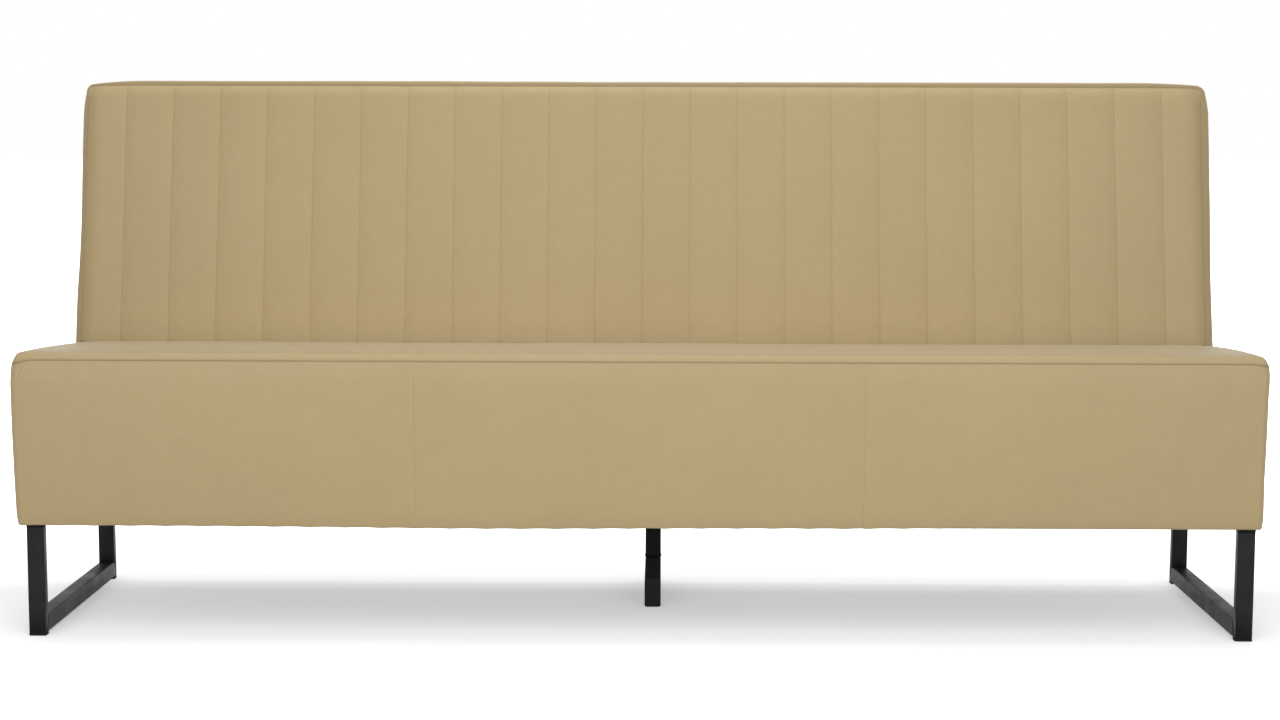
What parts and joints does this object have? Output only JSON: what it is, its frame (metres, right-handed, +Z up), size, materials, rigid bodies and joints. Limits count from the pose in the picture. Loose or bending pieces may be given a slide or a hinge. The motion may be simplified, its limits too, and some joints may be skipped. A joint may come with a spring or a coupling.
{
  "type": "upholstered restaurant bench",
  "caption": "Long restaurant booth bench: boxed crowned seat, leaning back with upright channels, tan leather look covers, slim black steel loop legs and a centre leg.",
  "frame": {"origin": "on the floor, centred under the bench left to right and front to back", "axes": "+X along the bench's length, towards the viewer's right; +Y towards the back; +Z up"},
  "size_m": [2.172, 0.6176, 0.9751],
  "materials": {
    "leather": "smooth tan artificial leather, low sheen, sewn seams",
    "foam": "cut upholstery foam",
    "wadding": "white polyester wadding",
    "plywood": "sanded plywood, unfinished",
    "hardboard": "smooth hardboard",
    "black_steel": "near-black clear-coated raw steel, welded",
    "black_plastic": "black moulded plastic",
    "zinc_steel": "zinc-plated steel",
    "dust_cloth": "black non-woven polypropylene cloth"
  },
  "bodies": {
    "root": {"seat_top_cover": "leather", "seat_front_cover_left": "leather", "seat_front_cover_centre": "leather", "seat_front_cover_right": "leather", "seat_left_cover": "leather", "seat_right_cover": "leather", "seat_rear_cover": "leather", "back_front_cover": "leather", "back_left_strip": "leather", "back_top_strip": "leather", "back_right_strip": "leather", "back_rear_cover": "leather", "seat_foam": "foam", "back_foam": "foam", "seat_front_wadding": "wadding", "seat_left_wadding": "wadding", "seat_right_wadding": "wadding", "back_edge_wadding": "wadding", "seat_front_board": "plywood", "seat_rear_board": "plywood", "seat_left_board": "plywood", "seat_right_board": "plywood", "seat_left_rib": "plywood", "seat_centre_rib": "plywood", "seat_right_rib": "plywood", "seat_deck": "plywood", "seat_corner_blocks": "plywood", "centre_leg_block": "plywood", "back_left_end_upright": "plywood", "back_left_upright": "plywood", "back_centre_upright": "plywood", "back_right_upright": "plywood", "back_right_end_upright": "plywood", "back_top_rail": "plywood", "back_left_rail": "plywood", "back_right_rail": "plywood", "back_front_board": "plywood", "back_rear_board": "hardboard", "left_front_post": "black_steel", "left_rear_post": "black_steel", "left_floor_bar": "black_steel", "left_top_bar": "black_steel", "right_front_post": "black_steel", "right_rear_post": "black_steel", "right_floor_bar": "black_steel", "right_top_bar": "black_steel", "centre_foot_bar": "black_steel", "centre_post": "black_steel", "centre_plate": "black_steel", "post_glides": "black_plastic", "centre_foot_caps": "black_plastic", "centre_foot_pads": "black_plastic", "upright_screws": "zinc_steel", "leg_screws": "zinc_steel", "dust_cover_staples": "zinc_steel", "dust_cover": "dust_cloth"}
  },
  "joints": []
}
